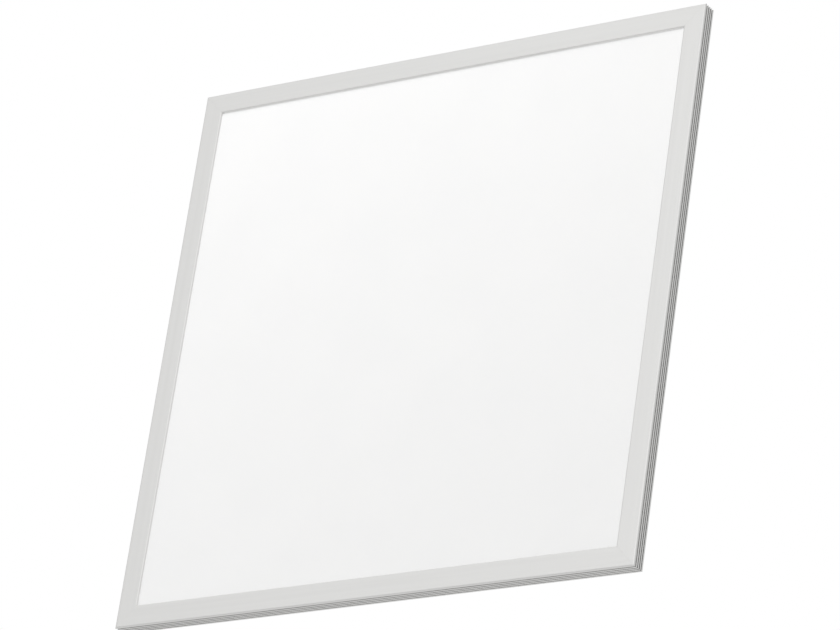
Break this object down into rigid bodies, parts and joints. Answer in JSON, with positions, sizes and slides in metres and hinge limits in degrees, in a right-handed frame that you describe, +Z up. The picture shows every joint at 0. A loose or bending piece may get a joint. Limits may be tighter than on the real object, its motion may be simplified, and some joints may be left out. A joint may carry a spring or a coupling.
{
  "type": "edge-lit led ceiling panel",
  "caption": "Square edge-lit LED ceiling panel with a ribbed, mitred aluminium frame, opal front and flat steel back cover.",
  "frame": {"origin": "middle of the four suspension inserts, on their outer faces, which is the panel's back plane", "axes": "+X to the right seen from the front, +Y backwards out of the back plane (the lit front faces -Y), +Z up as pictured"},
  "size_m": [0.595, 0.0256, 0.595],
  "materials": {
    "anodised_aluminium": "satin",
    "cast_zinc": "cast",
    "plated_screw": "plated",
    "opal_sheet": "matte",
    "clear_acrylic": "polished",
    "white_film": "matte",
    "white_foam": "matte",
    "painted_steel": "satin",
    "board_white": "gloss",
    "led_package": "gloss",
    "bonding_tape": "matte",
    "socket_plastic": "matte",
    "silicone": "matte",
    "insert_steel": "plated",
    "wire_red": "satin",
    "wire_black": "satin",
    "housing_plastic": "matte",
    "jack_plastic": "matte",
    "contact_brass": "satin",
    "label_film": "satin"
  },
  "bodies": {
    "root": {"rail_top": "anodised_aluminium", "rail_bottom": "anodised_aluminium", "rail_left": "anodised_aluminium", "rail_right": "anodised_aluminium", "corner_key_tl": "cast_zinc", "corner_key_tr": "cast_zinc", "corner_key_bl": "cast_zinc", "corner_key_br": "cast_zinc", "key_screws": "plated_screw", "diffuser": "opal_sheet", "light_guide": "clear_acrylic", "reflector_sheet": "white_film", "foam_pad": "white_foam", "back_cover": "painted_steel", "cover_screws": "plated_screw", "led_board_left": "board_white", "led_board_right": "board_white", "led_row_left": "led_package", "led_row_right": "led_package", "thermal_tape_left": "bonding_tape", "thermal_tape_right": "bonding_tape", "board_socket_left": "socket_plastic", "board_socket_right": "socket_plastic", "guide_pads_top": "silicone", "guide_pads_bottom": "silicone", "suspension_inserts": "insert_steel", "wire_left_red": "wire_red", "wire_left_black": "wire_black", "wire_right_red": "wire_red", "wire_right_black": "wire_black", "inlet_housing": "housing_plastic", "inlet_screws": "plated_screw", "inlet_jack": "jack_plastic", "inlet_pin": "contact_brass", "inlet_lug_pos": "contact_brass", "inlet_lug_neg": "contact_brass", "rating_label": "label_film"}
  },
  "joints": []
}
